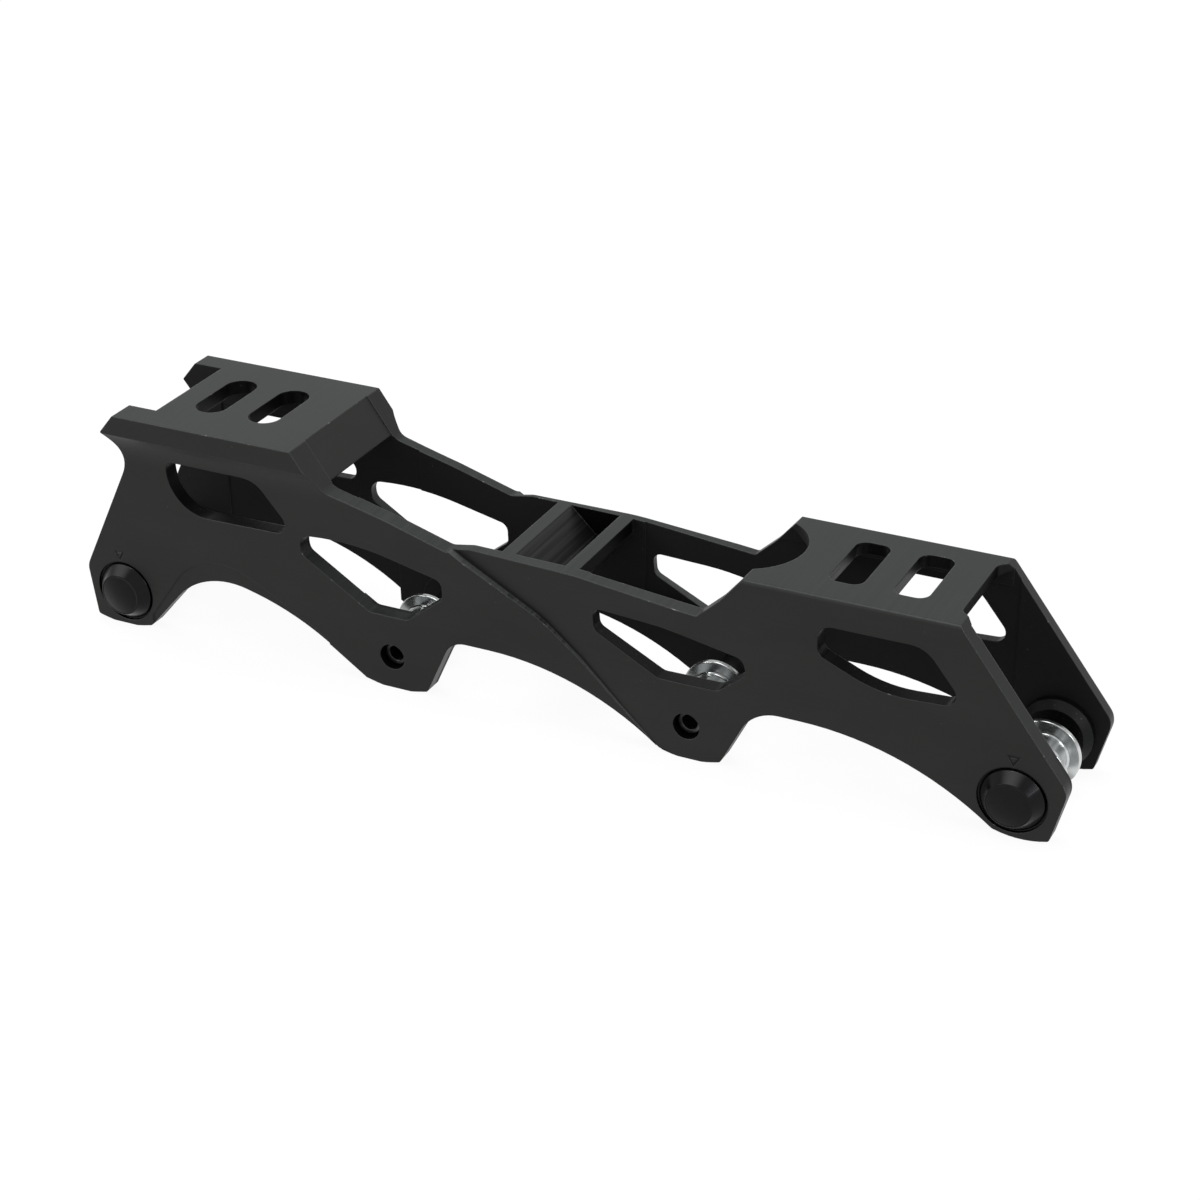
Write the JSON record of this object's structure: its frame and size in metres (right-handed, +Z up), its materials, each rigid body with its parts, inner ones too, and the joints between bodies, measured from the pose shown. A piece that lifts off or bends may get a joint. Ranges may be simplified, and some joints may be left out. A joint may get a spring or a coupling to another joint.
{
  "type": "inline skate frame",
  "caption": "Two-platform inline skate frame with wheel axles, bearing spacers and eccentric end inserts.",
  "frame": {"origin": "middle of the bounding box in X and Y, at its lowest face in Z", "axes": "+X towards the toe, +Y towards the side the axles are pushed in from, +Z up to the boot"},
  "size_m": [0.2534, 0.041, 0.0588],
  "materials": {
    "anodised_aluminium": "satin",
    "black_aluminium": "gloss",
    "grey_aluminium": "satin",
    "dark_steel": "satin",
    "silver_aluminium": "satin"
  },
  "bodies": {
    "chassis": {"chassis": "anodised_aluminium"},
    "front_rocker": {"front_rocker_nut": "black_aluminium", "front_rocker_bush": "grey_aluminium"},
    "rear_rocker": {"rear_rocker_nut": "black_aluminium", "rear_rocker_bush": "grey_aluminium"},
    "axle_1": {"axle_1": "dark_steel"},
    "spacer_1": {"spacer_1": "silver_aluminium"},
    "axle_2": {"axle_2": "dark_steel"},
    "spacer_2": {"spacer_2": "silver_aluminium"},
    "axle_3": {"axle_3": "dark_steel"},
    "spacer_3": {"spacer_3": "silver_aluminium"},
    "axle_4": {"axle_4": "dark_steel"},
    "spacer_4": {"spacer_4": "silver_aluminium"}
  },
  "joints": [
    {"name": "rear_rocker_turn", "type": "hinge", "parent": "chassis", "child": "rear_rocker", "pos_m": [-0.11604, 0, 0.0092], "axis": [0, 1, 0], "range_deg": [0, 180]},
    {"name": "front_rocker_turn", "type": "hinge", "parent": "chassis", "child": "front_rocker", "pos_m": [0.11496, 0, 0.0092], "axis": [0, 1, 0], "range_deg": [0, 180]},
    {"name": "axle_1_out", "type": "slide", "parent": "rear_rocker", "child": "axle_1", "axis": [0, 1, 0], "range_m": [0, 0.036]},
    {"name": "spacer_1_along", "type": "slide", "parent": "rear_rocker", "child": "spacer_1", "axis": [0, 1, 0], "range_m": [-0.00445, 0.00845]},
    {"name": "axle_2_out", "type": "slide", "parent": "chassis", "child": "axle_2", "axis": [0, 1, 0], "range_m": [0, 0.036]},
    {"name": "spacer_2_along", "type": "slide", "parent": "chassis", "child": "spacer_2", "axis": [0, 1, 0], "range_m": [-0.00195, 0.01095]},
    {"name": "axle_3_out", "type": "slide", "parent": "chassis", "child": "axle_3", "axis": [0, 1, 0], "range_m": [0, 0.036]},
    {"name": "spacer_3_along", "type": "slide", "parent": "chassis", "child": "spacer_3", "axis": [0, 1, 0], "range_m": [-0.0014, 0.0115]},
    {"name": "axle_4_out", "type": "slide", "parent": "front_rocker", "child": "axle_4", "axis": [0, 1, 0], "range_m": [0, 0.036]},
    {"name": "spacer_4_along", "type": "slide", "parent": "front_rocker", "child": "spacer_4", "axis": [0, 1, 0], "range_m": [-0.00755, 0.00535]}
  ]
}
